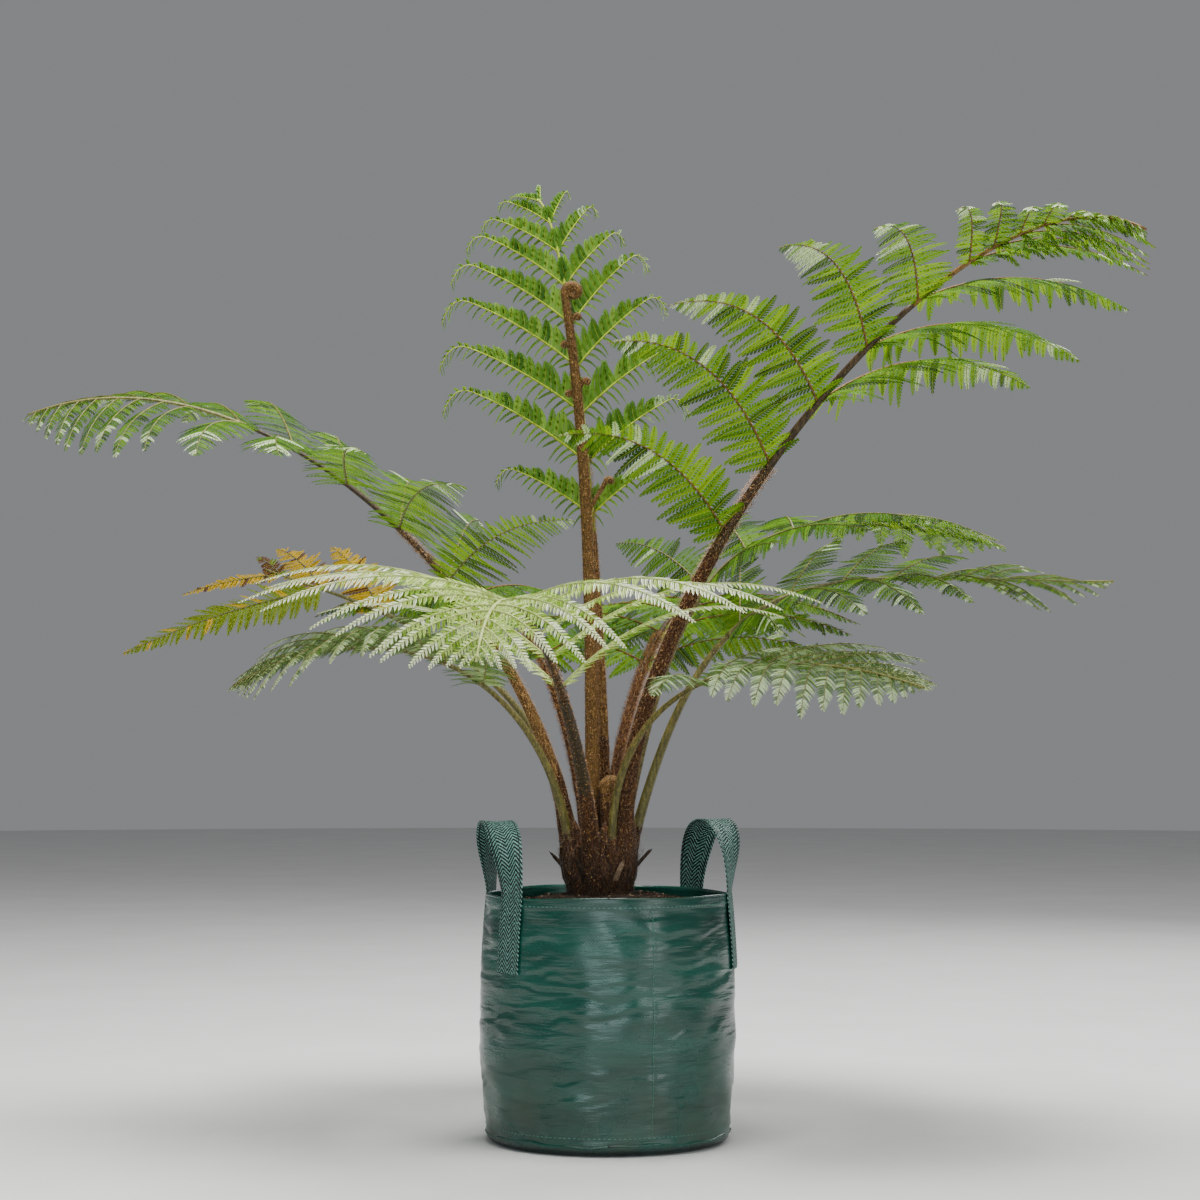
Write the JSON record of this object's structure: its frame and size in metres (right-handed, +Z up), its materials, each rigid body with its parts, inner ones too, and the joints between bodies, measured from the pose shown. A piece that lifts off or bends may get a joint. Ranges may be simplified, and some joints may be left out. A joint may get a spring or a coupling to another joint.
{
  "type": "tree fern in grow bag",
  "caption": "Young tree fern with a short fibrous trunk, arching divided fronds and furled croziers, standing in a round woven grow bag with webbing handles.",
  "frame": {"origin": "centre of the bag's flat underside, on the ground", "axes": "+Z up, -Y is the front that the picture shows, +X to the right of one who looks at the front"},
  "size_m": [1.7122, 1.4464, 1.5343],
  "materials": {
    "bag_weave": "creased woven polypropylene, glossy",
    "webbing": "herringbone webbing",
    "potting_mix": "moist composted bark",
    "trunk_fibre": "matted root fibre",
    "stub": "dry cut stalk",
    "hairy_stipe": "furred with golden brown hairs",
    "smooth_stipe": "smooth olive stalk",
    "leaf_green": "semi-gloss leaf",
    "leaf_fresh": "soft new leaf",
    "leaf_pale": "pale leaf with a waxy bloom",
    "leaf_yellow": "fading leaf"
  },
  "bodies": {
    "root": {"bag": "bag_weave", "handle_left": "webbing", "handle_right": "webbing", "soil": "potting_mix", "caudex": "trunk_fibre", "stub_1": "stub", "stub_2": "stub", "stub_3": "stub", "stub_4": "stub", "stub_5": "stub", "crozier_tall": "hairy_stipe", "crozier_low": "hairy_stipe", "stipe_upper_right": "hairy_stipe", "stipe_front": "hairy_stipe", "stipe_upper_left": "hairy_stipe", "stipe_right": "smooth_stipe", "stipe_young": "hairy_stipe", "stipe_back_right": "smooth_stipe", "stipe_low_right": "smooth_stipe", "stipe_low_left": "smooth_stipe", "stipe_yellow": "smooth_stipe", "stipe_back": "hairy_stipe", "stipe_back_left": "hairy_stipe", "frond_upper_right": "leaf_green", "frond_front": "leaf_pale", "frond_upper_left": "leaf_green", "frond_right": "leaf_green", "frond_young": "leaf_fresh", "frond_back_right": "leaf_green", "frond_low_right": "leaf_pale", "frond_low_left": "leaf_pale", "frond_yellow": "leaf_yellow", "frond_back": "leaf_green", "frond_back_left": "leaf_green"}
  },
  "joints": []
}
